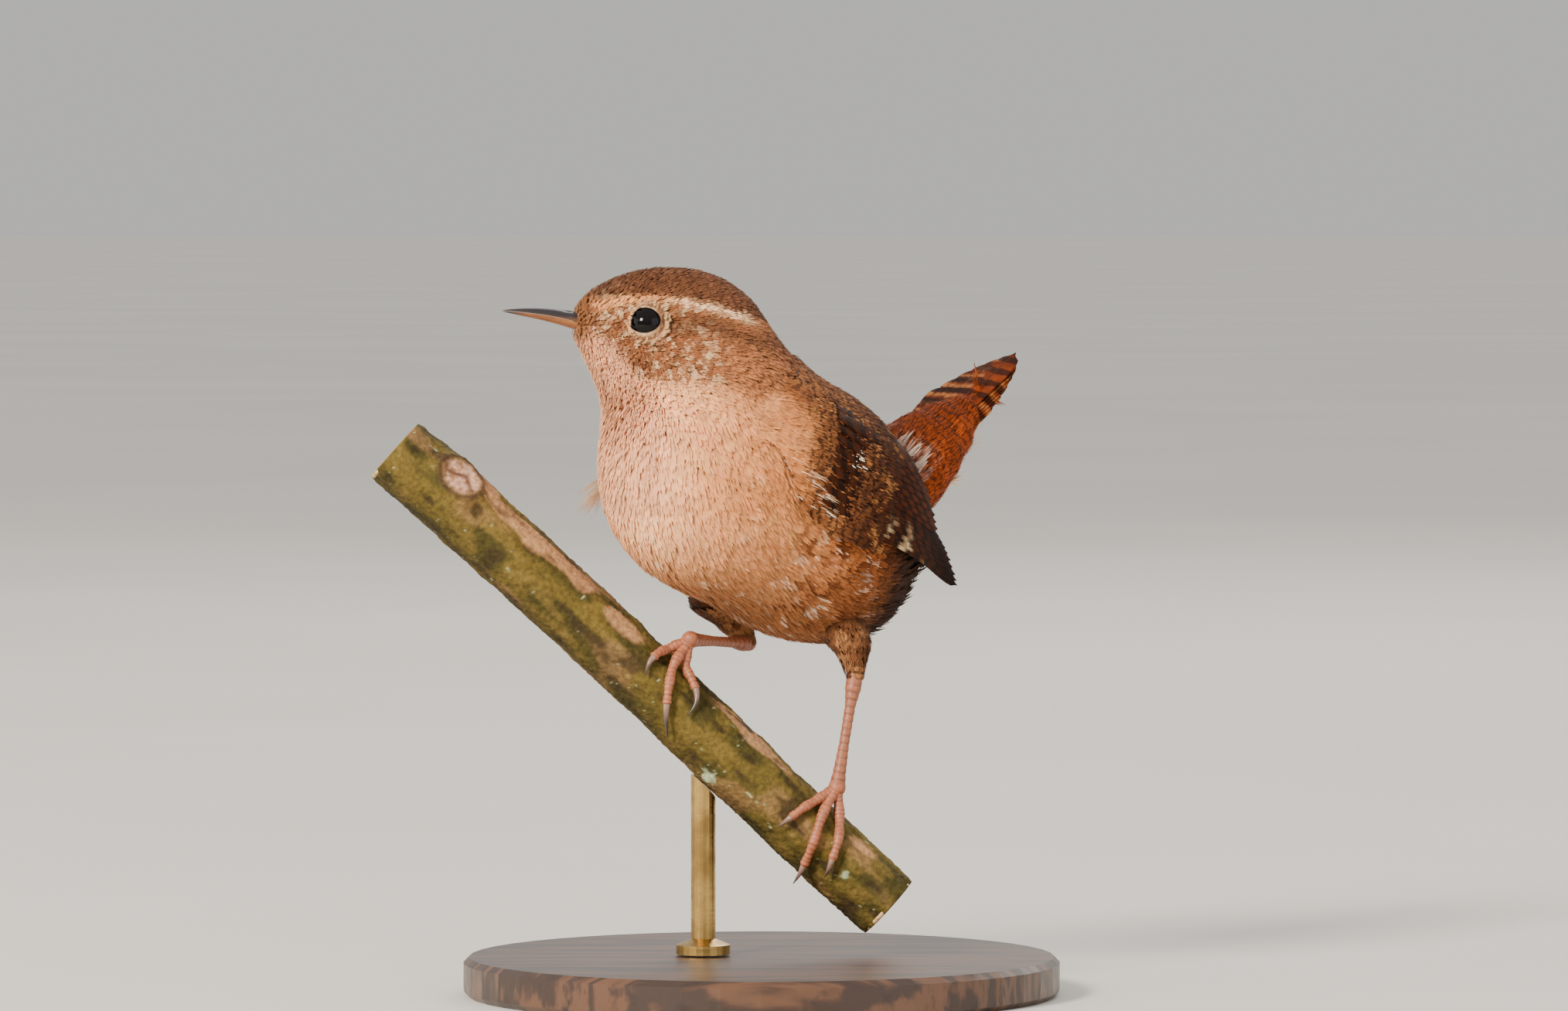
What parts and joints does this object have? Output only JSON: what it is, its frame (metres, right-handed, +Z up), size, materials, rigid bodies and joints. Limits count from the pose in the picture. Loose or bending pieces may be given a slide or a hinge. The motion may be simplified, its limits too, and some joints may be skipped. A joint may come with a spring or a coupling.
{
  "type": "wren",
  "caption": "Life-size wren with cocked tail, perched on a cut length of sloping branch, on a rod and round base.",
  "frame": {"origin": "centre of the stand's round base, at its underside", "axes": "+Z up; seen along +Y the bill points to -X and the tail to +X, and the breast is turned towards -Y"},
  "size_m": [0.1063, 0.092, 0.1124],
  "materials": {
    "plumage": "soft warm brown feathers, finely barred",
    "pale_plumage": "soft buff feathers, finely speckled",
    "wing_feather": "dark brown flight feathers barred with buff",
    "tail_feather": "rufous feathers with dark bars",
    "eye": "wet, near black",
    "bill_dark": "dark slate horn, satin",
    "bill_pale": "yellow-brown horn, satin",
    "leg_skin": "scaled pinkish skin, satin",
    "claw": "grey-brown horn, satin",
    "bark": "olive green bark with pale scars, cut ends bare wood",
    "stand_metal": "brushed brass",
    "stand_wood": "dark satin wood"
  },
  "bodies": {
    "root": {"head": "plumage", "neck": "plumage", "torso": "pale_plumage", "wing_left": "wing_feather", "wing_right": "wing_feather", "tail": "tail_feather", "eye_left": "eye", "eye_right": "eye", "bill_upper": "bill_dark", "bill_lower": "bill_pale", "thigh_left": "pale_plumage", "thigh_right": "pale_plumage", "foot_left": "leg_skin", "foot_right": "leg_skin", "toe_left_inner": "leg_skin", "toe_left_middle": "leg_skin", "toe_left_outer": "leg_skin", "toe_left_hind": "leg_skin", "toe_right_inner": "leg_skin", "toe_right_middle": "leg_skin", "toe_right_outer": "leg_skin", "toe_right_hind": "leg_skin", "claw_left_inner": "claw", "claw_left_middle": "claw", "claw_left_outer": "claw", "claw_left_hind": "claw", "claw_right_inner": "claw", "claw_right_middle": "claw", "claw_right_outer": "claw", "claw_right_hind": "claw", "perch": "bark", "stand_rod": "stand_metal", "stand_base": "stand_wood"}
  },
  "joints": []
}
